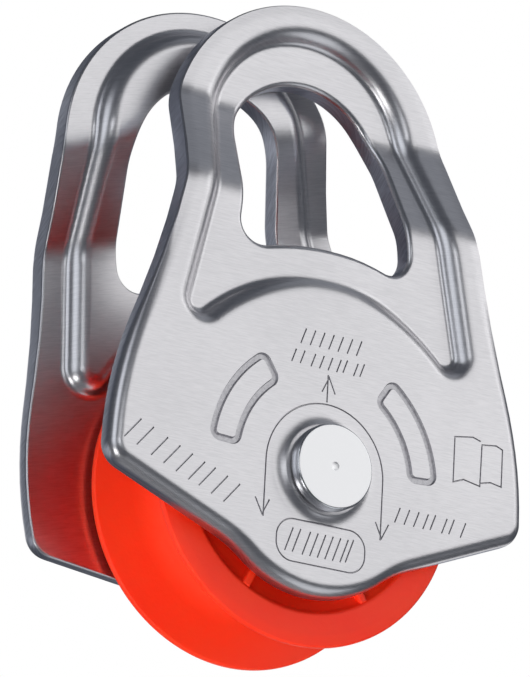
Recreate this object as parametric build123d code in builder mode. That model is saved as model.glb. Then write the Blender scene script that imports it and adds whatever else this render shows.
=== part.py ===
from build123d import *
from math import acos, cos, degrees, radians, sin
import os

# A swing-side rope pulley. Two press-formed aluminium side plates turn on a riveted axle,
# one on each side of a moulded nylon sheave. Each plate is joggled inwards above the sheave,
# so that the two slotted loops lie against each other and share one carabiner.
# Frame: origin at the middle of the axle, +Y along the axle from the front plate to the rear
# plate, +Z towards the loop of the front plate. Millimetres.

os.makedirs("parts", exist_ok=True)

# ---- Driving dimensions -------------------------------------------------------------------
plate_thickness = 3.0
plate_gap = 18.2              # between the inner faces of the two plates, beside the sheave
joggle_depth = 6.9            # how far each loop is set in from the body of its plate
joggle_start_z = 33.5         # height of the lower bend line
joggle_end_z = 46.6           # height of the upper bend line
joggle_bend_radius = 4.5      # on the middle of the sheet
recess_depth = 2.0            # how far the panel round the slot is pressed in
rear_swing = 15.1             # how far the rear plate stands swung from the front one, degrees
plate_edge_radius = 0.9       # on the edges of the outer face

loop_top_z = 62.05
loop_radius = 19.75
neck_radius = 105.0           # hollow flank below the loop
loop_lean = 5.1               # lean of the neck where it leaves the loop, degrees
flank_angle = 19.8            # lean of the straight flank from vertical, degrees
flank_length = 3.4
shoulder_radius = 47.0
corner_radius = 3.2           # lower corners
hem_angle = 22.1              # slope of the lower edge, degrees
hem_length = 19.0
nose_radius = 15.5            # round nose of the plate, concentric with the axle
nose_blend_radius = 16.0

slot_top_z = 52.0
slot_radius = 11.1            # rounded top of the slot
slot_lean = 5.2               # how far its sides spread downwards, degrees
slot_side_length = 18.0
slot_floor_radius = 39.0      # arched lower edge
slot_floor_z = 28.45          # height of its middle
slot_corner_radius = 3.0

recess_top_z = 58.4           # outline of the pressed-in panel, at the middle of its wall
recess_radius = 14.36
recess_lean = 12.0
recess_floor_radius = 23.3
recess_corner_radius = 2.3

groove_inner_radius = 11.8    # kidney-shaped grooves beside the axle, on their centre lines
groove_outer_radius = 16.5
groove_start_angle = 33.0     # from the plate's upright axis, degrees
groove_sweep = 54.0
groove_corner_radius = 1.5
groove_width = 0.8
groove_depth = 0.3

boss_base_radius = 7.1        # metal drawn up round the axle head
boss_top_radius = 5.6
boss_height = 0.55

pin_radius = 4.0              # axle
running_gap = 0.05            # radial clearance of every running fit
axial_gap = 0.05              # end clearance between faces that slide on each other
head_radius = 5.35            # both heads of the axle
head_thickness = 1.55
head_chamfer = 0.3
dimple_radius = 0.75          # turning centre in each head
dimple_depth = 0.35
tenon_radius = 2.6            # stepped end of the pin, riveted over in the rear head
head_washer_radius = 5.0
head_washer_thickness = 0.5
sleeve_outer_radius = 5.2     # steel spacer on the pin, on which the bushes run
thrust_washer_radius = 8.4

sheave_radius = 21.0
sheave_half_width = 8.3
rope_root_radius = 10.5       # bottom of the rope groove
rope_seat_radius = 6.6        # hollow of the groove, for rope up to 13 mm
lip_half_width = 7.2          # half the mouth of the groove
lip_radius = 0.3
rim_face_radius = 19.6        # where the flat side of the flange ends
rim_edge_half_width = 7.95
hub_half_width = 7.55
hub_radius = 9.0
bush_outer_radius = 6.6
bush_flange_radius = 8.4
bush_flange_thickness = 0.75
bush_split = 0.4              # space between the inner ends of the two bushes
rib_count = 6
rib_angle = 6.0               # angle that one rib takes, degrees
rib_phase = 27.4              # turn of the first rib from straight down, degrees
pocket_inner_radius = 9.3
pocket_outer_radius = 16.1
pocket_inner_floor = 5.4
pocket_middle_radius = 12.4
pocket_middle_floor = 6.2
pocket_outer_floor = 7.65

# ---- Worked out from them -----------------------------------------------------------------
inner_face_y = plate_gap / 2
outer_face_y = inner_face_y + plate_thickness
sheet_middle_y = inner_face_y + plate_thickness / 2
boss_face_y = outer_face_y + boss_height
washer_face_y = boss_face_y + axial_gap
head_face_y = washer_face_y + head_washer_thickness + head_thickness
bore_radius = pin_radius + running_gap
head_under_y = head_face_y - head_thickness
sleeve_end_y = inner_face_y - axial_gap
flange_face_y = hub_half_width + bush_flange_thickness
beyond = 80.0                 # longer than any part, for cuts that run right through
outline_tolerance = 0.01


# ---- Side plates --------------------------------------------------------------------------
def flank_outline(top_z, top_radius, lean, side_length):
    """Right-hand side of an arch: a round top, then a straight side that leans outwards."""
    crown = JernArc((0, top_z), (1, 0), top_radius, -(90 - lean))
    side = PolarLine(crown @ 1, side_length, angle=lean - 90)
    return crown, side


with BuildSketch(Plane.XZ) as plate_outline:
    with BuildLine():
        crown = JernArc((0, loop_top_z), (1, 0), loop_radius, loop_lean - 90)
        neck = JernArc(crown @ 1, crown % 1, neck_radius, flank_angle - loop_lean)
        flank = PolarLine(neck @ 1, flank_length, angle=flank_angle - 90)
        shoulder = JernArc(flank @ 1, flank % 1, shoulder_radius, -flank_angle)
        corner = JernArc(shoulder @ 1, shoulder % 1, corner_radius, hem_angle - 90)
        hem = PolarLine(corner @ 1, hem_length, angle=180 + hem_angle)
        Line(hem @ 1, (0, (hem @ 1).Y))
        mirror(about=Plane.YZ)
    make_face()
    Circle(nose_radius)
    hem_ends = vertices().filter_by_position(Axis.Y, -0.9 * nose_radius, -0.5 * nose_radius)
    fillet(hem_ends, radius=nose_blend_radius)

with BuildSketch(Plane.XZ) as slot_outline:
    with BuildLine():
        arch = flank_outline(slot_top_z, slot_radius, slot_lean, slot_side_length)
        Line(arch[1] @ 1, (0, (arch[1] @ 1).Y))
        mirror(about=Plane.YZ)
    make_face()
    with Locations((0, slot_floor_z - slot_floor_radius)):
        Circle(slot_floor_radius, mode=Mode.SUBTRACT)
    fillet(vertices().group_by(Axis.Y)[0], radius=slot_corner_radius)

# The panel ends below in two lobes, each rounded tangent to its straight side and to the floor arc.
recess_centre_z = recess_top_z - recess_radius
lobe_reach = recess_floor_radius + recess_corner_radius
lobe_offset = recess_radius + recess_centre_z * sin(radians(recess_lean)) - recess_corner_radius
lobe_spread = acos(lobe_offset / lobe_reach)
recess_side_length = recess_centre_z * cos(radians(recess_lean)) - lobe_reach * sin(lobe_spread)
lobe_angle = recess_lean + degrees(lobe_spread)

with BuildSketch(Plane.XZ) as panel_outline:
    with BuildLine():
        arch, side = flank_outline(recess_top_z, recess_radius, recess_lean, recess_side_length)
        lobe = JernArc(side @ 1, side % 1, recess_corner_radius, lobe_angle - recess_lean - 180)
        JernArc(lobe @ 1, lobe % 1, recess_floor_radius, 90 - lobe_angle)
        mirror(about=Plane.YZ)
    make_face()


def formed_sheet(set_in, region, rounded_outline):
    """Front plate metal over one region, following the joggle and set in from the rim.

    The edges of its outer face are rounded where they run along rounded_outline.
    """
    body_y = set_in - sheet_middle_y
    loop_y = body_y + joggle_depth

    def on_outer_edge(edge):
        middle = edge @ 0.5
        rise = (middle.Z - joggle_start_z) / (joggle_end_z - joggle_start_z)
        sheet_y = body_y + joggle_depth * min(max(rise, 0), 1)
        off_outline = rounded_outline.distance_to(Vector(middle.X, 0, middle.Z))
        return off_outline < outline_tolerance and middle.Y < sheet_y - plate_thickness / 4

    with BuildPart() as sheet:
        with BuildSketch(Plane.YZ):
            with BuildLine():
                FilletPolyline(
                    (body_y, -beyond),
                    (body_y, joggle_start_z),
                    (loop_y, joggle_end_z),
                    (loop_y, beyond),
                    radius=joggle_bend_radius,
                )
            trace(line_width=plate_thickness)
        extrude(amount=beyond, both=True)
        extrude(region, amount=beyond, both=True, mode=Mode.INTERSECT)
        fillet(edges().filter_by(on_outer_edge), radius=plate_edge_radius)
    return sheet.part


rim_region = (plate_outline.sketch - panel_outline.sketch).face()
rim_sheet = formed_sheet(0, rim_region, plate_outline.sketch.face().outer_wire())
panel_region = (panel_outline.sketch - slot_outline.sketch).face()
panel_sheet = formed_sheet(recess_depth, panel_region, slot_outline.sketch.face().outer_wire())

with BuildPart() as front_side_plate:
    add(rim_sheet)
    add(panel_sheet)
    # Metal drawn up round the axle head, then the bore for the axle.
    with Locations(Location((0, -outer_face_y - boss_height / 2, 0), (90, 0, 0))):
        Cone(boss_base_radius, boss_top_radius, boss_height)
    with Locations(Location((0, -outer_face_y, 0), (90, 0, 0))):
        Cylinder(bore_radius, plate_gap, mode=Mode.SUBTRACT)
    # One kidney-shaped groove each side of the axle, cut in the outer face.
    with BuildSketch(Plane.XZ.offset(outer_face_y)):
        with BuildLine():
            outer_arc = CenterArc((0, 0), groove_outer_radius, 90 - groove_start_angle, -groove_sweep)
            inner_arc = CenterArc((0, 0), groove_inner_radius, 90 - groove_start_angle, -groove_sweep)
            Line(outer_arc @ 0, inner_arc @ 0)
            Line(outer_arc @ 1, inner_arc @ 1)
        make_face()
        fillet(vertices(), radius=groove_corner_radius)
        kidney = offset(amount=groove_width / 2, mode=Mode.REPLACE)
        offset(kidney, amount=-groove_width, mode=Mode.SUBTRACT)
        mirror(about=Plane.YZ)
    extrude(amount=-groove_depth, mode=Mode.SUBTRACT)
front_side_plate.part.label = "front_side_plate"
export_step(front_side_plate.part, "parts/front_side_plate.step")

# The rear plate is the mirror image of the front one, standing swung about the axle.
with BuildPart() as rear_side_plate:
    mirrored = mirror(front_side_plate.part, about=Plane.XZ, mode=Mode.PRIVATE)
    add(mirrored.rotate(Axis.Y, -rear_swing))
rear_side_plate.part.label = "rear_side_plate"
export_step(rear_side_plate.part, "parts/rear_side_plate.step")


# ---- Sheave -------------------------------------------------------------------------------
# Half of the section is drawn with radius along X and the axle along Y, then mirrored.
rope_seat_centre = rope_root_radius + rope_seat_radius
with BuildPart() as sheave:
    with BuildSketch(Plane.XY):
        with BuildLine():
            root = CenterArc((rope_seat_centre, 0), rope_seat_radius, 90, 90)
            Line(root @ 0, (sheave_radius, lip_half_width))
            Line((sheave_radius, lip_half_width), (sheave_radius, rim_edge_half_width))
            Line((sheave_radius, rim_edge_half_width), (rim_face_radius, sheave_half_width))
            Line((rim_face_radius, sheave_half_width), (hub_radius, sheave_half_width))
            Line((hub_radius, sheave_half_width), (hub_radius, hub_half_width))
            Line((hub_radius, hub_half_width), (bush_outer_radius, hub_half_width))
            Line((bush_outer_radius, hub_half_width), (bush_outer_radius, 0))
            Line((bush_outer_radius, 0), root @ 1)
        make_face()
        lip = vertices().group_by(Axis.X)[-1]
        fillet(lip, radius=lip_radius)
        mirror(about=Plane.XZ)
    revolve(axis=Axis.Y)
    # Pockets between the ribs, the same on both sides of the web.
    pocket_arc = 360 / rib_count - rib_angle
    for index in range(rib_count):
        start = 90 + rib_phase + index * 360 / rib_count + rib_angle / 2
        with BuildSketch(Plane.XY.rotated((0, start, 0))):
            with BuildLine():
                Polyline(
                    (pocket_inner_radius, sheave_half_width + 1),
                    (pocket_inner_radius, pocket_inner_floor),
                    (pocket_middle_radius, pocket_middle_floor),
                    (pocket_outer_radius, pocket_outer_floor),
                    (pocket_outer_radius, sheave_half_width + 1),
                    close=True,
                )
            make_face()
            mirror(about=Plane.XZ)
        revolve(axis=Axis.Y, revolution_arc=pocket_arc, mode=Mode.SUBTRACT)
sheave.part.label = "sheave"
export_step(sheave.part, "parts/sheave.step")


# ---- Axle and what runs on it -------------------------------------------------------------
# Sections are drawn with radius along X and the axle along Y.
with BuildPart() as axle_pin:
    with BuildSketch(Plane.XY):
        with BuildLine():
            Polyline(
                (0, -head_face_y + dimple_depth),
                (dimple_radius, -head_face_y),
                (head_radius - head_chamfer, -head_face_y),
                (head_radius, -head_face_y + head_chamfer),
                (head_radius, -head_under_y),
                (pin_radius, -head_under_y),
                (pin_radius, head_under_y),
                (tenon_radius, head_under_y),
                (tenon_radius, head_face_y),
                (dimple_radius, head_face_y),
                (0, head_face_y - dimple_depth),
                close=True,
            )
        make_face()
    revolve(axis=Axis.Y)
axle_pin.part.label = "axle_pin"
export_step(axle_pin.part, "parts/axle_pin.step")

with BuildPart() as rear_axle_head:
    with BuildSketch(Plane.XY):
        with BuildLine():
            Polyline(
                (tenon_radius, head_under_y),
                (head_radius, head_under_y),
                (head_radius, head_face_y - head_chamfer),
                (head_radius - head_chamfer, head_face_y),
                (tenon_radius, head_face_y),
                close=True,
            )
        make_face()
    revolve(axis=Axis.Y)
rear_axle_head.part.label = "rear_axle_head"
export_step(rear_axle_head.part, "parts/rear_axle_head.step")

with BuildPart() as spacer_sleeve:
    with BuildSketch(Plane.XZ):
        Circle(sleeve_outer_radius)
        Circle(pin_radius, mode=Mode.SUBTRACT)
    extrude(amount=sleeve_end_y, both=True)
spacer_sleeve.part.label = "spacer_sleeve"
export_step(spacer_sleeve.part, "parts/spacer_sleeve.step")

# Pieces that come in pairs, one towards each plate. Plane.XZ faces the front plate.
for side, turn in (("front", 0), ("rear", 180)):
    axle_plane = Plane.XZ.rotated((turn, 0, 0))

    with BuildPart() as flanged_bush:
        with BuildSketch(axle_plane.offset(bush_split / 2)):
            Circle(bush_outer_radius)
        extrude(amount=hub_half_width - bush_split / 2)
        with BuildSketch(axle_plane.offset(hub_half_width)):
            Circle(bush_flange_radius)
        extrude(amount=bush_flange_thickness)
        with BuildSketch(axle_plane):
            Circle(sleeve_outer_radius + running_gap)
        extrude(amount=beyond, mode=Mode.SUBTRACT)
    flanged_bush.part.label = f"{side}_flanged_bush"
    export_step(flanged_bush.part, f"parts/{side}_flanged_bush.step")

    with BuildPart() as thrust_washer:
        with BuildSketch(axle_plane.offset(flange_face_y + axial_gap)):
            Circle(thrust_washer_radius)
            Circle(sleeve_outer_radius + running_gap, mode=Mode.SUBTRACT)
        extrude(amount=sleeve_end_y - flange_face_y - axial_gap)
    thrust_washer.part.label = f"{side}_thrust_washer"
    export_step(thrust_washer.part, f"parts/{side}_thrust_washer.step")

    with BuildPart() as head_washer:
        with BuildSketch(axle_plane.offset(washer_face_y)):
            Circle(head_washer_radius)
            Circle(bore_radius, mode=Mode.SUBTRACT)
        extrude(amount=head_washer_thickness)
    head_washer.part.label = f"{side}_head_washer"
    export_step(head_washer.part, f"parts/{side}_head_washer.step")
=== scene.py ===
from math import acos, asin, atan2, ceil, copysign, cos, degrees, hypot, pi, radians, sin, sqrt, tan

import bmesh
import bpy
from mathutils import Matrix, Vector


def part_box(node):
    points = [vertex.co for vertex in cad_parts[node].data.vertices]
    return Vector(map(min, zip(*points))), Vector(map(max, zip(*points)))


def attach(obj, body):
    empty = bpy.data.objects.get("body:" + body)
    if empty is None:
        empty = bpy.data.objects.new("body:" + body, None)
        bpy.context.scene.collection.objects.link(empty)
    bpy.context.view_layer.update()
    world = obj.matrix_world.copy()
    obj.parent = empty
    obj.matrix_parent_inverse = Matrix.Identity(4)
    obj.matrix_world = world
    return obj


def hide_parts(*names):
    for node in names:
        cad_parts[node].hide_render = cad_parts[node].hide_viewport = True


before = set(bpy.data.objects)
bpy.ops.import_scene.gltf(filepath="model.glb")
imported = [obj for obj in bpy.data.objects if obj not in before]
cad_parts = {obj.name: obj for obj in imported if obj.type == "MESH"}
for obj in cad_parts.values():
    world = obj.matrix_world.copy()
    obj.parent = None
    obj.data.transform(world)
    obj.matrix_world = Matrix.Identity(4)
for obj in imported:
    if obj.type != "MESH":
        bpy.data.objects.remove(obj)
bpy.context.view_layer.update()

# ---- Camera -------------------------------------------------------------------------------
# A long lens on a studio stand, below and to the left of the pulley, looking up at it. The pulley
# hangs from its loops, and its axle is at the origin.
camera_data = bpy.data.cameras.new("camera")
camera_data.lens = 256.1
camera_data.sensor_width = 36.0
camera_data.clip_start = 0.01
camera_data.clip_end = 50.0
camera = bpy.data.objects.new("camera", camera_data)
camera_place = Vector((-0.2912, -0.4912, -0.1598))
camera_right = Vector((0.85250, -0.52024, 0.05097))
camera_up = Vector((-0.19785, -0.23087, 0.95266))
camera_axes = Matrix((camera_right, camera_up, camera_right.cross(camera_up))).transposed()
camera.matrix_world = Matrix.Translation(camera_place) @ camera_axes.to_4x4()
bpy.context.scene.collection.objects.link(camera)
bpy.context.scene.camera = camera
bpy.context.scene.view_settings.view_transform = "Standard"


# ---- Light and floor ----------------------------------------------------------------------
# A dim room with a few flat diffused lamps and a white sweep, high above a pale floor. The camera
# sees the sweep and the floor evenly bright, but the metal mirrors the dim room.
def softbox(name, direction, distance, size, brightness, colour=(1.0, 1.0, 1.0), mirrored=True):
    """A flat lamp that faces the axle from a direction, its distance and size in metres.

    The brightness is what a mirror would show of it. A lamp that isn't mirrored lights the plastic
    and leaves the metal's reflections alone.
    """
    data = bpy.data.lights.new(name, "AREA")
    data.shape = "RECTANGLE"
    data.size, data.size_y = size
    data.energy = brightness * pi * size[0] * size[1]
    data.color = colour
    lamp = bpy.data.objects.new(name, data)
    towards = Vector(direction).normalized()
    lamp.location = towards * distance
    lamp.rotation_euler = towards.to_track_quat("Z", "Y").to_euler()
    lamp.visible_camera = False
    lamp.visible_glossy = mirrored
    bpy.context.scene.collection.objects.link(lamp)


softbox("front_softbox", (0.49, -0.80, 0.31), 1.0, (1.0, 0.90), 0.80)
softbox("right_softbox", (0.84, -0.36, 0.40), 1.0, (0.45, 0.6), 0.62)
softbox("low_left_softbox", (-0.73, -0.34, -0.58), 0.9, (0.30, 0.30), 3.2)
softbox("low_softbox", (0.45, -0.50, -0.75), 1.0, (0.7, 0.6), 0.60, (0.93, 0.96, 1.0))
softbox("top_panel", (0.45, -0.20, 0.87), 1.0, (0.6, 0.5), 0.18, (0.88, 0.92, 1.0))
softbox("left_panel", (-0.82, -0.42, 0.20), 1.0, (0.45, 0.9), 0.95, (0.90, 0.94, 1.0))
softbox("front_left_softbox", (-0.36, -0.92, 0.14), 1.0, (0.34, 0.36), 1.25, (0.95, 0.97, 1.0))
softbox("back_softbox", (-0.10, 0.93, 0.30), 1.0, (0.8, 0.6), 0.50)
softbox("back_left_softbox", (-0.68, 0.66, -0.32), 1.0, (0.6, 0.45), 0.75)
softbox("back_right_softbox", (0.68, 0.66, -0.32), 1.0, (0.6, 0.45), 0.75)
softbox("nylon_fill", (-0.55, -0.45, -0.70), 0.9, (0.8, 0.8), 4.8, mirrored=False)


def seen_apart(tree, in_the_room, kind, colour, final):
    """Shows the camera an even glow, where light and reflections meet the room's own shader."""
    glow = tree.nodes.new(kind)
    glow.inputs["Color"].default_value = colour
    choice = tree.nodes.new("ShaderNodeMixShader")
    light_path = tree.nodes.new("ShaderNodeLightPath")
    tree.links.new(light_path.outputs["Is Camera Ray"], choice.inputs["Fac"])
    tree.links.new(in_the_room, choice.inputs[1])
    tree.links.new(glow.outputs[0], choice.inputs[2])
    tree.links.new(choice.outputs["Shader"], tree.nodes[final].inputs["Surface"])


room_colour = (0.06, 0.066, 0.08, 1.0)
sweep_colour = (1.0, 1.0, 1.0, 1.0)
floor_colour = (0.80, 0.80, 0.80, 1.0)
floor_radius = 3.0
floor_height = -1.20

world = bpy.data.worlds.new("studio")
world.use_nodes = True
bpy.context.scene.world = world
room_light = world.node_tree.nodes["Background"]
room_light.inputs["Color"].default_value = room_colour
seen_apart(
    world.node_tree, room_light.outputs["Background"], "ShaderNodeBackground", sweep_colour,
    "World Output",
)

floor_mesh = bpy.data.meshes.new("floor")
floor_bm = bmesh.new()
bmesh.ops.create_circle(floor_bm, cap_ends=True, segments=96, radius=floor_radius)
bmesh.ops.translate(floor_bm, verts=floor_bm.verts, vec=(0, 0, floor_height))
floor_bm.to_mesh(floor_mesh)
floor_bm.free()
floor_paint = bpy.data.materials.new("floor_paint")
floor_paint.use_nodes = True
floor_shader = floor_paint.node_tree.nodes["Principled BSDF"]
floor_shader.inputs["Base Color"].default_value = floor_colour
floor_shader.inputs["Roughness"].default_value = 0.9
seen_apart(
    floor_paint.node_tree, floor_shader.outputs["BSDF"], "ShaderNodeEmission", floor_colour,
    "Material Output",
)
floor_mesh.materials.append(floor_paint)
floor = bpy.data.objects.new("floor", floor_mesh)
bpy.context.scene.collection.objects.link(floor)

# ---- Front side plate ---------------------------------------------------------------------
# Blanked from 3 mm aluminium sheet, tumbled, then struck in a press: the loop is joggled inwards,
# the panel round the slot is set in, and the metal at the axle is drawn up into a low boss.
mm = 0.001
sheet = 3.0                          # all sizes of the plate are in millimetres
loop_top = 62.05
slot_top = 52.0
slot_floor = 28.45
slot_floor_radius = 39.0
nose_radius = 15.5
joggle_depth = 6.9
joggle_start = 33.5
joggle_end = 46.6
bend_radius = 8.0                    # on the middle of the sheet
panel_top = 58.4
panel_depth = 2.0                    # how far the panel round the slot is pressed in
wall_width = 3.3                     # the pressing's sloping wall, seen square on
wall_round = 0.68                    # share of the wall that is the large round at its rim
wall_steps = 7
foot_shallower = 0.60                # share of the depth that is missing below the slot
boss_foot = 7.4
boss_top = 5.6
boss_height = 0.55
boss_steps = 9
boss_ground = 8.0                    # nothing of the outline comes nearer to the axle than this
bore = 4.05
edge_round = 1.75                    # rolled edge along the bottom of the outline
loop_edge_share = 0.30               # width of the same edge round the loop, as a share of it
slot_edge_round = 0.8
back_edge_round = 0.3
degrees_per_step = 3.0
cut_pitch = 0.4                      # between the cuts that let the sheet bend
thinnest_strip = 0.08                # narrowest strip of the pressed wall that is worth a row
edge_fade = (8.0, 30.0)              # height over which the rolled edge shrinks towards the loop
foot_fade_x = (2.0, 14.0)            # where the panel gets shallower: out from its middle
foot_fade_z = (27.0, 38.0)           # and down towards the axle
crease_angle = 38.0                  # edges sharper than this stay crisp


class Pencil:
    """Draws on the flat sheet: arcs and straight runs, each tangent to the last.

    x runs to the right and z up, as the plate is seen from outside. Turns are in degrees, and a
    positive turn bears left.
    """

    def __init__(self, bm, x, z, heading=0.0, y=0.0):
        self.bm = bm
        self.tip = bm.verts.new((x, y, z))
        self.trail = [self.tip]
        self.heading = heading

    def ahead(self):
        return Vector((cos(radians(self.heading)), 0, sin(radians(self.heading))))

    def left(self):
        return Vector((-sin(radians(self.heading)), 0, cos(radians(self.heading))))

    def arc(self, radius, turn):
        known = set(self.bm.verts)
        bmesh.ops.spin(
            self.bm, geom=[self.tip], cent=self.tip.co + self.left() * copysign(radius, turn),
            axis=(0, 1, 0), angle=-radians(turn), steps=max(2, ceil(abs(turn) / degrees_per_step)),
            use_merge=False,
        )
        self.trail += [v for v in self.bm.verts if v not in known]
        self.tip = self.trail[-1]
        self.heading += turn

    def line(self, length):
        self.line_to(*(self.tip.co + self.ahead() * length).xz)

    def line_to(self, x, z):
        made = bmesh.ops.extrude_vert_indiv(self.bm, verts=[self.tip])
        self.tip = made["verts"][0]
        self.tip.co = Vector((x, self.tip.co.y, z))
        self.trail.append(self.tip)

    def line_and_corner(self, corner_radius, side, other_radius, other_height=0.0):
        """Runs straight on, then round a corner that ends tangent to a circle on the z axis.

        side is 1 for a corner that bears left and -1 for one that bears right. Gives the angle
        of the corner's end on that circle, counted from the plate's x axis.
        """
        start = self.tip.co + self.left() * side * corner_radius - Vector((0, 0, other_height))
        start.y = 0
        along = start.dot(self.ahead())
        reach = other_radius + corner_radius
        run = -along - sqrt(along**2 - start.length_squared + reach**2)
        centre = start + self.ahead() * run
        polar = degrees(atan2(centre.z, centre.x))
        turn = (polar - 90 * side - self.heading) % (360 * side)
        self.line(run)
        self.arc(corner_radius, turn)
        return polar


def plate_edge(bm):
    """The plate's outline, from the top of the loop round to the bottom of the nose."""
    pencil = Pencil(bm, 0, loop_top)
    pencil.arc(19.75, -84.9)         # loop
    pencil.arc(105.0, 14.7)          # hollow neck
    pencil.line(3.4)                 # flank
    pencil.arc(47.0, -19.8)          # shoulder
    pencil.arc(3.2, -67.9)           # lower corner
    polar = pencil.line_and_corner(16.0, 1, nose_radius)
    pencil.arc(nose_radius, -90 - polar)
    return pencil.trail


def panel_edge(bm, outwards):
    """The pressed panel's outline, moved outwards from the middle of its wall."""
    pencil = Pencil(bm, 0, panel_top + outwards)
    pencil.arc(14.36 + outwards, -78.0)
    polar = pencil.line_and_corner(2.3 + outwards, -1, 23.3 - outwards)
    pencil.arc(23.3 - outwards, 90 - polar)
    return pencil.trail


def slot_edge(bm):
    """The carabiner slot: a round top, sides that spread downwards and an arched floor."""
    pencil = Pencil(bm, 0, slot_top)
    pencil.arc(11.1, -84.8)
    polar = pencil.line_and_corner(3.0, -1, slot_floor_radius, slot_floor - slot_floor_radius)
    pencil.arc(slot_floor_radius, 90 - polar)
    return pencil.trail


def edges_of(trail):
    """The edges that join a trail's points in turn."""
    return [next(e for e in a.link_edges if b in e.verts) for a, b in zip(trail, trail[1:])]


def kinds(geometry, kind):
    """The vertices, edges or faces, whichever is asked for, among an operator's results."""
    return [g for g in geometry if isinstance(g, kind)]


wall_slope = 2 * atan2(panel_depth, wall_width)
rim_round = wall_round * wall_width / sin(wall_slope)
foot_round = (1 - wall_round) * wall_width / sin(wall_slope)


def set_in(across):
    """Depth of the pressing's outer face, at a distance across its wall from the rim."""
    if across < wall_round * wall_width:
        return rim_round - sqrt(rim_round**2 - across**2)
    return panel_depth - foot_round + sqrt(foot_round**2 - (wall_width - across) ** 2)


# Half the face is laid out flat, then mirrored. Each point keeps how far across the wall it is.
plate_bm = bmesh.new()
across_wall = plate_bm.verts.layers.float.new("across_wall")
edge_x = plate_bm.verts.layers.float.new("edge_x")
edge_z = plate_bm.verts.layers.float.new("edge_z")
outline = plate_edge(plate_bm)
boss_pencil = Pencil(plate_bm, 0, -boss_foot)
boss_pencil.arc(boss_foot, 180)
turns = [wall_slope * step / wall_steps for step in range(wall_steps + 1)]
crossings = {round(rim_round * sin(turn), 4) for turn in turns}
crossings |= {round(foot_round * sin(turn), 4) for turn in turns}
crossings |= {round(wall_width - across, 4) for across in crossings}
walls = []
for across in sorted(crossings):
    if walls and across - last_across < thinnest_strip:
        continue
    last_across = across
    trail = panel_edge(plate_bm, wall_width / 2 - across)
    for point in trail:
        point[across_wall] = across
    walls.append(trail)
slot = slot_edge(plate_bm)
for point in slot:
    point[across_wall] = wall_width
plate_bm.faces.new(outline + boss_pencil.trail + walls[0][::-1])
plate_bm.faces.new(walls[-1] + slot[::-1])
for upper, lower in zip(walls, walls[1:]):
    bmesh.ops.bridge_loops(plate_bm, edges=edges_of(upper) + edges_of(lower))
half = plate_bm.verts[:] + plate_bm.edges[:] + plate_bm.faces[:]
bmesh.ops.mirror(plate_bm, geom=half, axis="X", merge_dist=0.0005)
bmesh.ops.remove_doubles(plate_bm, verts=plate_bm.verts, dist=0.001)
bmesh.ops.recalc_face_normals(plate_bm, faces=plate_bm.faces)

# The boss is drawn up ring by ring from its foot.
ring = [
    e for e in plate_bm.edges
    if e.is_boundary and all(v.co.xz.length < boss_ground for v in e.verts)
]
last_radius = boss_foot
rises = [step / boss_steps for step in range(1, boss_steps + 1)]
boss_rings = [(boss_foot + (boss_top - boss_foot) * t, boss_height * t * t) for t in rises]
for radius, height in boss_rings + [(bore, boss_height)]:
    made = bmesh.ops.extrude_edge_only(plate_bm, edges=ring)
    ring = [e for e in kinds(made["geom"], bmesh.types.BMEdge) if e.is_boundary]
    drawn = kinds(made["geom"], bmesh.types.BMVert)
    bmesh.ops.scale(plate_bm, verts=drawn, vec=(radius / last_radius, 1, radius / last_radius))
    for vert in drawn:
        vert.co.y = -height
    last_radius = radius

# The sheet gets its thickness, and its edges are rounded.
made = bmesh.ops.extrude_face_region(plate_bm, geom=plate_bm.faces[:])
for vert in kinds(made["geom"], bmesh.types.BMVert):
    vert.co.y = sheet
bmesh.ops.recalc_face_normals(plate_bm, faces=plate_bm.faces)
for vert in plate_bm.verts:
    vert[edge_x], vert[edge_z] = vert.co.xz


def corner_edges(depth, in_slot):
    """The sharp edges round the outline, or round the slot, on one face of the flat sheet."""
    return [
        e for e in plate_bm.edges
        if all(abs(v.co.y - depth) < 0.01 and v.co.xz.length > boss_ground for v in e.verts)
        and (e.verts[0][across_wall] > wall_width / 2) == in_slot
        and e.calc_face_angle(0.0) > radians(60)
    ]


for depth, in_slot, width, segments in (
    (0.0, False, edge_round, 6),
    (0.0, True, slot_edge_round, 5),
    (sheet, False, back_edge_round, 3),
    (sheet, True, back_edge_round, 3),
):
    bmesh.ops.bevel(
        plate_bm, geom=corner_edges(depth, in_slot), offset=width, offset_type="OFFSET",
        affect="EDGES", segments=segments, profile=0.5, material=-1, clamp_overlap=True,
    )


def smooth_step(value, low, high):
    t = min(max((value - low) / (high - low), 0), 1)
    return t * t * (3 - 2 * t)


# Round the loop the rolled edge is drawn together towards the corner that it was cut from.
for vert in plate_bm.verts:
    corner = Vector((vert[edge_x], 0, vert[edge_z]))
    off_corner = vert.co - corner
    if vert[across_wall] < wall_width / 2 and 0.0001 < off_corner.length < 1.5 * edge_round:
        if vert.co.xz.length > boss_ground:
            share = 1 - (1 - loop_edge_share) * smooth_step(corner.z, *edge_fade)
            vert.co = corner + off_corner * share

# Cuts across the sheet let it bend, close together in the two bends and wider apart on the ramp.
joggle_angle = atan2(joggle_depth, joggle_end - joggle_start)
lower_centre = joggle_start - bend_radius * tan(joggle_angle / 2)
upper_centre = joggle_end + bend_radius * tan(joggle_angle / 2)
bend_height = (bend_radius + sheet / 2) * sin(joggle_angle)
cut = lower_centre
while cut < upper_centre + cut_pitch:
    everything = plate_bm.verts[:] + plate_bm.edges[:] + plate_bm.faces[:]
    bmesh.ops.bisect_plane(
        plate_bm, geom=everything, dist=0.0005, plane_co=(0, 0, cut), plane_no=(0, 0, 1),
    )
    bending = cut < lower_centre + bend_height or cut > upper_centre - bend_height - cut_pitch
    cut += cut_pitch if bending else 2 * cut_pitch


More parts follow.
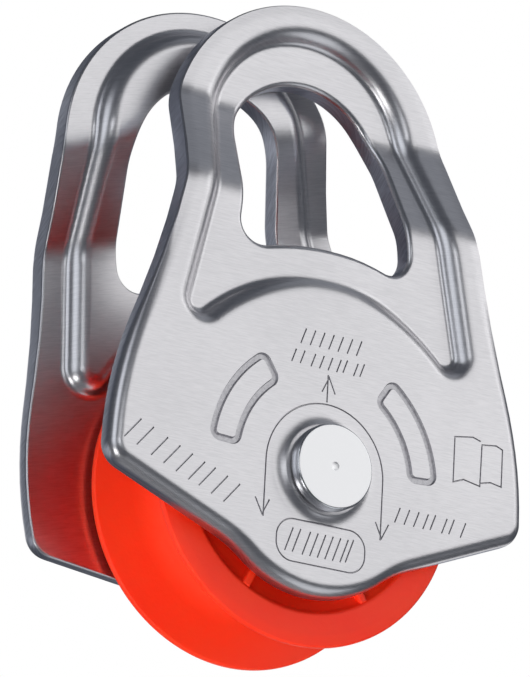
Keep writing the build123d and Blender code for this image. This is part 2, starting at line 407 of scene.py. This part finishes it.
def joggled(z, off):
    """How far in the sheet lies at height z, for a layer of it that is off from its middle."""
    lower = bend_radius - off
    upper = bend_radius + off
    ramp_start = lower_centre + lower * sin(joggle_angle)
    ramp_end = upper_centre - upper * sin(joggle_angle)
    if z <= lower_centre:
        return off
    if z < ramp_start:
        return bend_radius - sqrt(lower**2 - (z - lower_centre) ** 2)
    if z < ramp_end:
        return bend_radius - lower * cos(joggle_angle) + (z - ramp_start) * tan(joggle_angle)
    if z < upper_centre:
        return joggle_depth - bend_radius + sqrt(upper**2 - (z - upper_centre) ** 2)
    return joggle_depth + off


# The press sets in the panel and bends the loop, so every point goes to its place.
outer_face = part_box("front_side_plate")[0].y / mm + boss_height
for vert in plate_bm.verts:
    across = vert[across_wall]
    from_outside = min(max(vert.co.y / sheet, 0), 1)
    front_depth = set_in(across)
    back_depth = panel_depth - set_in(wall_width - across)
    full_depth = front_depth + (back_depth - front_depth) * from_outside
    near_middle = 1 - smooth_step(abs(vert.co.x), *foot_fade_x)
    below_slot = 1 - smooth_step(vert.co.z, *foot_fade_z)
    depth = full_depth * (1 - foot_shallower * near_middle * below_slot)
    off = vert.co.y - sheet / 2
    vert.co.y = outer_face + sheet / 2 + depth + joggled(vert.co.z, off)
bmesh.ops.recalc_face_normals(plate_bm, faces=plate_bm.faces)
plate_mesh = bpy.data.meshes.new("front_plate_sheet")
plate_bm.to_mesh(plate_mesh)
plate_bm.free()
front_plate = bpy.data.objects.new("front_plate_sheet", plate_mesh)
bpy.context.scene.collection.objects.link(front_plate)

# ---- Finish of the plates -----------------------------------------------------------------
# Both plates are tumbled and brushed to a satin grey, with the blanking die's torn grain on their
# cut edges, whose darker blue-grey colour is a painted reflection. The struck marks are painted
# darker, as painted shade in their hollows.
class Shade:
    """A value, colour or vector in a material's node tree. Maths on values adds its Math nodes."""

    def __init__(self, tree, link=None):
        self.tree = tree
        self.link = link

    def node(self, kind, settings, sockets, output=0):
        """Adds a node: its settings first, then a value or a link for each of its sockets."""
        made = self.tree.nodes.new("ShaderNode" + kind)
        for name, value in settings.items():
            setattr(made, name, value)
        for name, value in sockets.items():
            if isinstance(value, Shade):
                self.tree.links.new(value.link, made.inputs[name])
            else:
                made.inputs[name].default_value = value
        return Shade(self.tree, made.outputs[output])

    def maths(self, operation, first, second):
        return self.node("Math", {"operation": operation}, {0: first, 1: second})

    def __add__(self, other):
        return self.maths("ADD", self, other)

    def __mul__(self, other):
        return self.maths("MULTIPLY", self, other)

    def __sub__(self, other):
        return self.maths("SUBTRACT", self, other)

    def __rsub__(self, other):
        return self.maths("SUBTRACT", other, self)

    __radd__ = __add__
    __rmul__ = __mul__

    def smooth(self, low, high):
        """0 below low and 1 above high, smooth between."""
        return self.node(
            "MapRange", {"interpolation_type": "SMOOTHSTEP"},
            {"Value": self, "From Min": low, "From Max": high},
        )

    def blend(self, first, second):
        """A colour that goes from the first to the second as this value goes from 0 to 1."""
        return self.node("Mix", {"data_type": "RGBA"}, {0: self, 6: first, 7: second}, output=2)

    def into(self, shader, socket):
        self.tree.links.new(self.link, shader.inputs[socket])


def start_material(name, fixed):
    """A new material, its shader and a Shade to start from. The fixed values hold all over it."""
    material = bpy.data.materials.new(name)
    material.use_nodes = True
    shader = material.node_tree.nodes["Principled BSDF"]
    for socket, value in fixed.items():
        shader.inputs[socket].default_value = value
    return material, shader, Shade(material.node_tree)


def brushed_aluminium(name, swing):
    """Satin sheet, brushed across the plate, with slanted torn grain on its cut edges. Their darker
    blue-grey colour is a painted reflection.

    swing is how far the plate stands turned about the axle, in degrees.
    """
    material, shader, start = start_material(name, {"Metallic": 1.0})
    place = start.node("TexCoord", {}, {}, output="Object")
    flat = start.node(
        "Mapping", {"vector_type": "TEXTURE"},
        {"Vector": place, "Rotation": (0, radians(-swing), 0)},
    )
    along = start.node("VectorMath", {"operation": "MULTIPLY"}, {0: flat, 1: (420, 420, 6500)})
    brushing = start.node(
        "TexNoise", {}, {"Vector": along, "Scale": 1.0, "Detail": 3.0, "Roughness": 0.7},
    )
    grain = start.node("TexNoise", {}, {"Vector": flat, "Scale": 5200.0, "Detail": 2.0})
    cloudy = start.node("TexNoise", {}, {"Vector": flat, "Scale": 60.0, "Detail": 3.0})
    normal = start.node("NewGeometry", {}, {}, output="Normal")
    sideways = start.node("SeparateXYZ", {}, {0: normal}, output="Y")
    facing = start.node("Math", {"operation": "ABSOLUTE"}, {0: sideways})
    cut_edge = 1 - facing.smooth(0.12, 0.4)
    slanted = start.node(
        "VectorMath", {"operation": "DOT_PRODUCT"}, {0: flat, 1: (0.45, 0.65, 1)}, output="Value",
    )
    through = start.node("SeparateXYZ", {}, {0: flat}, output="Y")
    grain_place = start.node("CombineXYZ", {}, {0: slanted * 4200, 1: through * 380, 2: 0.0})
    torn = start.node(
        "TexNoise", {}, {"Vector": grain_place, "Scale": 1.0, "Detail": 3.0, "Roughness": 0.6},
    )
    streaks = (brushing * 0.7 + cloudy * 0.3).smooth(0.3, 0.7)
    face_tone = streaks.blend((0.74, 0.73, 0.745, 1), (0.89, 0.875, 0.89, 1))
    # The cut edges' darker blue-grey is a painted reflection, laid over their real torn grain.
    torn_edge_painted_reflection = torn.smooth(0.35, 0.65).blend((0.44, 0.46, 0.54, 1), (0.60, 0.63, 0.72, 1))
    cut_edge.blend(face_tone, torn_edge_painted_reflection).into(shader, "Base Color")
    (0.25 + brushing * 0.10 + cut_edge * 0.10).into(shader, "Roughness")
    height = (brushing * 0.35 + grain * 0.12) * (1 - cut_edge) + torn * cut_edge * 0.6
    start.node(
        "Bump", {}, {"Strength": 0.30, "Distance": 0.00005, "Height": height},
    ).into(shader, "Normal")
    return material


def struck_lines(name):
    """Bottom of the struck lines: metal that the brushing doesn't reach, painted darker as painted
    shade in these hollows.
    """
    material, shader, start = start_material(name, {"Metallic": 1.0})
    place = start.node("TexCoord", {}, {}, output="Object")
    struck_mottle = start.node("TexNoise", {}, {"Vector": place, "Scale": 3000.0, "Detail": 3.0})
    # Both tones are darker than the plate's face: painted shade in the struck hollows.
    tone = struck_mottle.smooth(0.3, 0.7).blend((0.56, 0.55, 0.575, 1), (0.74, 0.73, 0.75, 1))
    tone.into(shader, "Base Color")
    (struck_mottle * 0.2 + 0.32).into(shader, "Roughness")
    start.node(
        "Bump", {}, {"Strength": 0.3, "Distance": 0.00004, "Height": struck_mottle},
    ).into(shader, "Normal")
    return material


front_plate.data.materials.append(brushed_aluminium("front_plate_aluminium", 0.0))
struck_finish = struck_lines("struck_aluminium")

# ---- Marks struck in the outer face -------------------------------------------------------
# Load arrows, an open book, an oblong frame, rows of plain hatching and two kidney-shaped grooves,
# all stamped into the outer face of each plate. None of them is lettering.
mark_width = 0.34
mark_depth = 0.20
mark_taper = 0.15                    # width of a struck line's bottom, as a share of its top
kidney_width = 1.2
kidney_depth = 0.32
kidney_taper = 0.5
load_radius = 8.5                    # of the line that the rope's load follows over the sheave
load_leg = 7.2                       # how far that line runs down on each side
frame_radius = 2.5                   # of the oblong frame's corners
stroke_lean = 0.35                   # of the hatching, sideways for each millimetre upwards


def polyline(bm, points):
    pencil = Pencil(bm, *points[0])
    for point in points[1:]:
        pencil.line_to(*point)


def stamp(bm, width, depth, taper):
    """Turns the drawn lines into the tapered ridges of a stamp, standing in the plate's outer face."""
    bmesh.ops.translate(bm, verts=bm.verts, vec=(0, outer_face - depth, 0))
    made = bmesh.ops.extrude_edge_only(bm, edges=bm.edges[:])
    raised = kinds(made["geom"], bmesh.types.BMVert)
    bmesh.ops.translate(bm, verts=raised, vec=(0, 2 * depth, 0))
    bmesh.ops.recalc_face_normals(bm, faces=bm.faces)
    line_x = bm.verts.layers.float.new("line_x")
    line_z = bm.verts.layers.float.new("line_z")
    for vert in bm.verts:
        vert[line_x], vert[line_z] = vert.co.xz
    bmesh.ops.solidify(bm, geom=bm.faces[:], thickness=width)
    bmesh.ops.recalc_face_normals(bm, faces=bm.faces)
    pairs = {}
    for vert in bm.verts:
        if vert.co.y > outer_face:
            pairs.setdefault((vert[line_x], vert[line_z]), []).append(vert)
    for pair in pairs.values():
        middle = sum((v.co for v in pair), Vector()) / len(pair)
        for vert in pair:
            vert.co = middle + (vert.co - middle) * taper


def strike(bm, name):
    """Cuts the stamp's ridges out of the front plate."""
    stamp_mesh = bpy.data.meshes.new(name)
    bm.to_mesh(stamp_mesh)
    bm.free()
    stamp_mesh.materials.append(struck_finish)
    stamp_object = bpy.data.objects.new(name, stamp_mesh)
    bpy.context.scene.collection.objects.link(stamp_object)
    struck = front_plate.modifiers.new(name, "BOOLEAN")
    struck.operation = "DIFFERENCE"
    struck.solver = "EXACT"
    struck.use_self = True
    struck.material_mode = "TRANSFER"
    struck.object = stamp_object
    graph = bpy.context.evaluated_depsgraph_get()
    front_plate.data = bpy.data.meshes.new_from_object(front_plate.evaluated_get(graph))
    front_plate.modifiers.clear()
    bpy.data.objects.remove(stamp_object)


marks_bm = bmesh.new()
load_line = Pencil(marks_bm, -8.4, -load_leg, heading=90)
load_line.line(load_leg)
load_line.arc(load_radius, -180)
load_line.line(load_leg)
polyline(marks_bm, [(-9.6, -5.1), (-8.4, -7.3), (-7.3, -5.1)])
polyline(marks_bm, [(7.5, -5.1), (8.6, -7.3), (9.7, -5.1)])
polyline(marks_bm, [(0.1, 8.6), (0.1, 12.1)])
polyline(marks_bm, [(-1.0, 9.9), (0.1, 12.2), (1.2, 9.9)])
left_page = [(22.4, 7.9), (21.3, 8.2), (18.8, 7.8), (18.8, 2.4), (20.1, 2.9), (22.4, 2.5)]
right_page = [(22.5, 7.8), (24.8, 8.1), (25.9, 7.7), (25.9, 2.6), (24.1, 2.9), (22.5, 2.5)]
polyline(marks_bm, left_page + right_page[:1])
polyline(marks_bm, right_page)
oblong = Pencil(marks_bm, -3.9, -6.6)
for side in (7.9, 0.6, 7.9, 0.6):
    oblong.line(side)
    oblong.arc(frame_radius, -90)
hatch_rows = (                       # middle, length, slope of the row, height and number of strokes
    ((0.0, 16.4), 8.0, 0.0, 2.0, 7),
    ((0.0, 13.6), 9.8, 0.0, 1.7, 9),
    ((15.4, -3.6), 9.6, -1.0, 2.0, 8),
    ((-19.6, -2.6), 15.0, -21.0, 3.2, 9),
    ((0.0, -9.4), 8.6, 0.0, 3.0, 9),
)
for middle, length, slope, height, count in hatch_rows:
    row = Vector((cos(radians(slope)), sin(radians(slope))))
    up = Vector((-row.y, row.x))
    for index in range(count):
        foot = Vector(middle) + row * (length * (index / (count - 1) - 0.5)) - up * height / 2
        top = foot + up * height + row * height * stroke_lean
        shift = row * height * (stroke_lean / 2)
        polyline(marks_bm, [foot - shift, top - shift])
bmesh.ops.remove_doubles(marks_bm, verts=marks_bm.verts, dist=0.001)
stamp(marks_bm, mark_width, mark_depth, mark_taper)
strike(marks_bm, "marks")

kidney_bm = bmesh.new()
inner_line, outer_line, corner = 11.8, 16.5, 1.5
first_angle, last_angle = 57.0, 3.0  # from the plate's x axis
outer_turn = degrees(asin(corner / (outer_line - corner)))
inner_turn = degrees(asin(corner / (inner_line + corner)))
side = sqrt((outer_line - corner) ** 2 - corner**2) - sqrt((inner_line + corner) ** 2 - corner**2)
start = radians(first_angle - outer_turn)
kidney = Pencil(
    kidney_bm, outer_line * cos(start), outer_line * sin(start), first_angle - outer_turn - 90,
)
kidney.arc(outer_line, last_angle - first_angle + 2 * outer_turn)
kidney.arc(corner, -90 - outer_turn)
kidney.line(side)
kidney.arc(corner, -90 + inner_turn)
kidney.arc(inner_line, first_angle - last_angle - 2 * inner_turn)
kidney.arc(corner, -90 + inner_turn)
kidney.line(side)
kidney.arc(corner, -90 - outer_turn)
geometry = kidney_bm.verts[:] + kidney_bm.edges[:]
bmesh.ops.mirror(kidney_bm, geom=geometry, axis="X", merge_dist=0.0001)
bmesh.ops.remove_doubles(kidney_bm, verts=kidney_bm.verts, dist=0.02)
stamp(kidney_bm, kidney_width, kidney_depth, kidney_taper)
strike(kidney_bm, "kidneys")

plate_mesh = front_plate.data
plate_mesh.name = "front_plate_sheet"
plate_mesh.transform(Matrix.Scale(mm, 4))
plate_mesh.shade_smooth()
plate_mesh.set_sharp_from_angle(angle=radians(crease_angle))


def settle(piece, body, slot_name, *replaced):
    """Puts the piece on its body, in place of its CAD nodes, with even shading on flat faces."""
    even = piece.modifiers.new("even_shading", "WEIGHTED_NORMAL")
    even.keep_sharp = True
    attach(piece, body)
    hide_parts(*replaced)


settle(front_plate, "front_plate", "plate_aluminium", "front_side_plate")

# ---- Rear side plate ----------------------------------------------------------------------
# The mirror image of the front one, struck in the opposite tool, and swung about the axle. Its
# brushing runs across it in the same way, so it turns with the plate.
rear_swing = 15.1
rear_mesh = plate_mesh.copy()
rear_mesh.name = "rear_plate_sheet"
rear_mesh.transform(Matrix.Rotation(-radians(rear_swing), 4, "Y") @ Matrix.Diagonal((1, -1, 1, 1)))
rear_mesh.flip_normals()
rear_mesh.materials[0] = brushed_aluminium("rear_plate_aluminium", rear_swing)
rear_plate = bpy.data.objects.new("rear_plate_sheet", rear_mesh)
bpy.context.scene.collection.objects.link(rear_plate)
settle(rear_plate, "rear_plate", "plate_aluminium", "rear_side_plate")

# ---- Sheave -------------------------------------------------------------------------------
# Moulded in one piece in orange nylon: a rope groove between two flanges, and a dished web, which
# six ribs on each side join to the rim and the hub.
sheave_radius = 21.0
lip_half_width = 7.2                 # half the mouth of the rope groove
root_radius = 10.5                   # to the bottom of the groove
seat_radius = 6.6                    # of the round that the rope lies in
sheave_half_width = 8.3
rib_count = 6
rib_phase = 27.4                     # where the first rib stands, in degrees
rib_middle = 12.95                   # from the axle
rib_length = 7.6
rib_width = 1.25
rib_draft = 0.82                     # width of a rib's top, as a share of its foot
rib_below_rim = 0.02
rib_foot_outer = 7.2                 # the rib's foot follows the web, deeper near the hub
rib_foot_inner = 5.2
rib_round = 0.3
turned_steps = 160


def turned(name, points, steps=turned_steps):
    """Spins a section, given as radius and place along the axle, into a turned or moulded body."""
    bm = bmesh.new()
    section = [bm.verts.new((radius, along, 0)) for radius, along in points]
    for a, b in zip(section, section[1:]):
        bm.edges.new((a, b))
    bmesh.ops.spin(
        bm, geom=bm.verts[:] + bm.edges[:], cent=(0, 0, 0), axis=(0, 1, 0), angle=radians(360),
        steps=steps, use_merge=True,
    )
    bmesh.ops.remove_doubles(bm, verts=bm.verts, dist=0.0005)
    bmesh.ops.recalc_face_normals(bm, faces=bm.faces)
    mesh = bpy.data.meshes.new(name)
    bm.to_mesh(mesh)
    bm.free()
    made = bpy.data.objects.new(name, mesh)
    bpy.context.scene.collection.objects.link(made)
    return made


def round_off(centre, radius, first, last, steps):
    """Points of an arc in the section, between two angles in degrees."""
    angles = [radians(first + (last - first) * step / steps) for step in range(steps + 1)]
    return [(centre[0] + radius * cos(a), centre[1] + radius * sin(a)) for a in angles]


seat_centre = root_radius + seat_radius
lip_reach = hypot(sheave_radius - seat_centre, lip_half_width)
flank_turn = degrees(atan2(lip_half_width, sheave_radius - seat_centre) + acos(seat_radius / lip_reach))
# From the bottom of the groove over the lip and the rim's face, down the dished web and out to
# the hub, with a flat recess for the flange of the bush.
half_section = round_off((seat_centre, 0), seat_radius, 180, flank_turn, 14)
half_section += round_off((sheave_radius - 0.3, lip_half_width + 0.28), 0.3, 278, 360, 4)
half_section += [(sheave_radius, 7.85)]
half_section += round_off((sheave_radius - 0.35, 7.85), 0.35, 15, 75, 3)
half_section += [(19.7, 8.27), (19.5, sheave_half_width), (17.2, sheave_half_width)]
half_section += round_off((17.2, sheave_half_width - 0.7), 0.7, 100, 150, 4)
half_section += [(16.2, 7.62), (15.6, 7.42), (12.4, 6.2), (10.2, 5.6)]
half_section += round_off((10.2, 6.4), 0.8, 260, 190, 4)
half_section += [(9.3, 8.1), (9.2, 8.25), (9.05, sheave_half_width), (8.95, 8.25)]
half_section += [(8.9, 7.55), (6.6, 7.55)]
whole_section = [(radius, -along) for radius, along in half_section[::-1]] + half_section[1:]
sheave = turned("nylon_sheave", whole_section + [whole_section[0]])

ribs_bm = bmesh.new()
rib = bmesh.ops.create_cube(ribs_bm, size=1.0)["verts"]
top = [v for v in rib if v.co.y > 0]
bmesh.ops.scale(ribs_bm, verts=rib, vec=(rib_width, 1, rib_length))
bmesh.ops.scale(ribs_bm, verts=top, vec=(rib_draft, 1, 1))
bmesh.ops.translate(ribs_bm, verts=rib, vec=(0, 0, -rib_middle))
for vert in rib:
    foot = rib_foot_outer if vert.co.z < -rib_middle else rib_foot_inner
    vert.co.y = sheave_half_width - rib_below_rim if vert in top else foot
bmesh.ops.bevel(
    ribs_bm, geom=[e for e in ribs_bm.edges if all(v in top for v in e.verts)], offset=rib_round,
    offset_type="OFFSET", affect="EDGES", segments=3, profile=0.5, material=-1,
)
bmesh.ops.rotate(ribs_bm, verts=ribs_bm.verts, matrix=Matrix.Rotation(radians(rib_phase), 3, "Y"))
bmesh.ops.mirror(
    ribs_bm, geom=ribs_bm.verts[:] + ribs_bm.edges[:] + ribs_bm.faces[:], axis="Y", merge_dist=-1,
)
bmesh.ops.spin(
    ribs_bm, geom=ribs_bm.verts[:] + ribs_bm.edges[:] + ribs_bm.faces[:], cent=(0, 0, 0),
    axis=(0, 1, 0), angle=radians(360 - 360 / rib_count), steps=rib_count - 1, use_duplicate=True,
)
bmesh.ops.recalc_face_normals(ribs_bm, faces=ribs_bm.faces)
ribs_mesh = bpy.data.meshes.new("ribs")
ribs_bm.to_mesh(ribs_mesh)
ribs_bm.free()
ribs = bpy.data.objects.new("ribs", ribs_mesh)
bpy.context.scene.collection.objects.link(ribs)
moulded = sheave.modifiers.new("ribs", "BOOLEAN")
moulded.operation = "UNION"
moulded.solver = "EXACT"
moulded.object = ribs
graph = bpy.context.evaluated_depsgraph_get()
sheave.data = bpy.data.meshes.new_from_object(sheave.evaluated_get(graph))
sheave.modifiers.clear()
bpy.data.objects.remove(ribs)
sheave.data.transform(Matrix.Scale(mm, 4))
sheave.data.shade_smooth()
sheave.data.set_sharp_from_angle(angle=radians(crease_angle))

# The mould was spark eroded, so the nylon has a fine matt grain and faint marks of its flow.
nylon, nylon_shader, start = start_material("orange_nylon", {
    "IOR": 1.45, "Subsurface Weight": 0.30, "Subsurface Radius": (1.0, 0.12, 0.04),
    "Subsurface Scale": 0.0018,
})
place = start.node("TexCoord", {}, {}, output="Object")
spark = start.node(
    "TexNoise", {}, {"Vector": place, "Scale": 2600.0, "Detail": 2.0, "Roughness": 0.6},
)
flow = start.node("TexNoise", {}, {"Vector": place, "Scale": 70.0, "Detail": 3.0})
tone = flow.smooth(0.3, 0.7).blend((0.93, 0.030, 0.008, 1), (0.97, 0.044, 0.010, 1))
tone.into(nylon_shader, "Base Color")
(0.40 + spark * 0.16).into(nylon_shader, "Roughness")
start.node(
    "Bump", {}, {"Strength": 0.35, "Distance": 0.00005, "Height": spark},
).into(nylon_shader, "Normal")
sheave.data.materials.clear()
sheave.data.materials.append(nylon)
settle(sheave, "sheave_wheel", "sheave_nylon", "sheave")

# ---- Axle ---------------------------------------------------------------------------------
# Turned from stainless bar, its face left satin from the lathe's last cut round a centre dimple,
# and painted brighter than its sides as a painted highlight.
# The front head is one with the pin, and the rear one is riveted on the pin's stepped end.
pin_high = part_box("axle_pin")[1]
head_face = pin_high.y / mm
head_radius = pin_high.x / mm
head_under = 13.2
head_round = 0.32
lathe_steps = 128
pin_radius = 4.0
tenon_radius = 2.6                   # of the stepped end that holds the rear head
dimple_radius = 0.6
dimple_depth = 0.15
dimple = [
    (0, dimple_depth), (0.2, dimple_depth - 0.03),
    (dimple_radius - 0.1, 0.05), (dimple_radius + 0.05, 0),
]
section = [(radius, -head_face + depth) for radius, depth in dimple]
section += [(head_radius - head_round - 0.1, -head_face)]
section += round_off((head_radius - head_round, -head_face + head_round), head_round, 270, 360, 5)
section += [(head_radius, -head_under - 0.1), (head_radius - 0.1, -head_under)]
section += [(pin_radius, -head_under), (pin_radius, head_under), (tenon_radius, head_under)]
section += [(tenon_radius, head_face - 0.08), (tenon_radius - 0.08, head_face)]
section += [(radius, head_face - depth) for radius, depth in dimple[::-1]]
axle = turned("turned_axle", section, lathe_steps)

rear_head = turned("riveted_rear_head", [
    (tenon_radius, head_under), (head_radius - 0.1, head_under), (head_radius, head_under + 0.1),
    *round_off((head_radius - head_round, head_face - head_round), head_round, 0, 90, 5),
    (tenon_radius + 0.1, head_face), (tenon_radius, head_face - 0.1), (tenon_radius, head_under),
], lathe_steps)

for piece in (axle, rear_head):
    piece.data.transform(Matrix.Scale(mm, 4))
    piece.data.shade_smooth()
    piece.data.set_sharp_from_angle(angle=radians(crease_angle))

steel, steel_shader, start = start_material("turned_steel", {"Metallic": 1.0})
place = start.node("TexCoord", {}, {}, output="Object")
normal = start.node("NewGeometry", {}, {}, output="Normal")
sideways = start.node("SeparateXYZ", {}, {0: normal}, output="Y")
face = start.node("Math", {"operation": "ABSOLUTE"}, {0: sideways}).smooth(0.9, 0.98)
frost = start.node(
    "TexNoise", {}, {"Vector": place, "Scale": 5200.0, "Detail": 3.0, "Roughness": 0.7},
)
x_z = start.node("VectorMath", {"operation": "MULTIPLY"}, {0: place, 1: (1, 0, 1)})
from_axis = start.node("VectorMath", {"operation": "LENGTH"}, {0: x_z}, output="Value")
rings = start.node(
    "TexNoise", {"noise_dimensions": "1D"}, {"W": from_axis * 9000, "Scale": 1.0, "Detail": 2.0},
)
# The face's near-white colour is a painted highlight; its satin roughness and frost are real.
face.blend((0.80, 0.81, 0.83, 1), (0.985, 0.985, 0.99, 1)).into(steel_shader, "Base Color")
(0.14 + face * 0.12 + frost * 0.06).into(steel_shader, "Roughness")
start.node(
    "Bump", {}, {"Strength": 0.18, "Distance": 0.00003, "Height": frost * face + rings * 0.3},
).into(steel_shader, "Normal")
for piece in (axle, rear_head):
    piece.data.materials.clear()
    piece.data.materials.append(steel)
settle(axle, "axle", "axle_steel", "axle_pin")
settle(rear_head, "axle", "axle_steel", "rear_axle_head")

# ---- Inside: sleeve, bushes and washers ---------------------------------------------------
# The sheave runs on two oiled bronze bushes round a steel sleeve, which keeps the plates apart.
# Steel thrust washers stand beside its hub, and black acetal ones lie under the axle's heads.
def plain_finish(name, colour, other_colour, metallic, roughness, grain):
    """A stamped, sintered or moulded finish: two close tones and a fine grain, in grains per metre."""
    material, shader, start = start_material(name, {"Metallic": metallic})
    place = start.node("TexCoord", {}, {}, output="Object")
    noise = start.node("TexNoise", {}, {"Vector": place, "Scale": grain, "Detail": 3.0})
    noise.smooth(0.3, 0.7).blend((*colour, 1), (*other_colour, 1)).into(shader, "Base Color")
    (noise * 0.2 + (roughness - 0.1)).into(shader, "Roughness")
    start.node(
        "Bump", {}, {"Strength": 0.2, "Distance": 0.00004, "Height": noise},
    ).into(shader, "Normal")
    return material


bronze = plain_finish("oiled_bronze", (0.38, 0.24, 0.11), (0.50, 0.33, 0.16), 0.9, 0.45, 3500.0)
washer_steel = plain_finish(
    "stamped_steel", (0.55, 0.56, 0.58), (0.66, 0.67, 0.69), 1.0, 0.32, 2500.0,
)
acetal = plain_finish(
    "black_acetal", (0.018, 0.018, 0.020), (0.030, 0.030, 0.033), 0.0, 0.42, 3000.0,
)
for node, finish in (
    ("front_flanged_bush", bronze),
    ("rear_flanged_bush", bronze),
    ("spacer_sleeve", washer_steel),
    ("front_thrust_washer", washer_steel),
    ("rear_thrust_washer", washer_steel),
    ("front_head_washer", acetal),
    ("rear_head_washer", acetal),
):
    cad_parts[node].data.materials.clear()
    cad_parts[node].data.materials.append(finish)
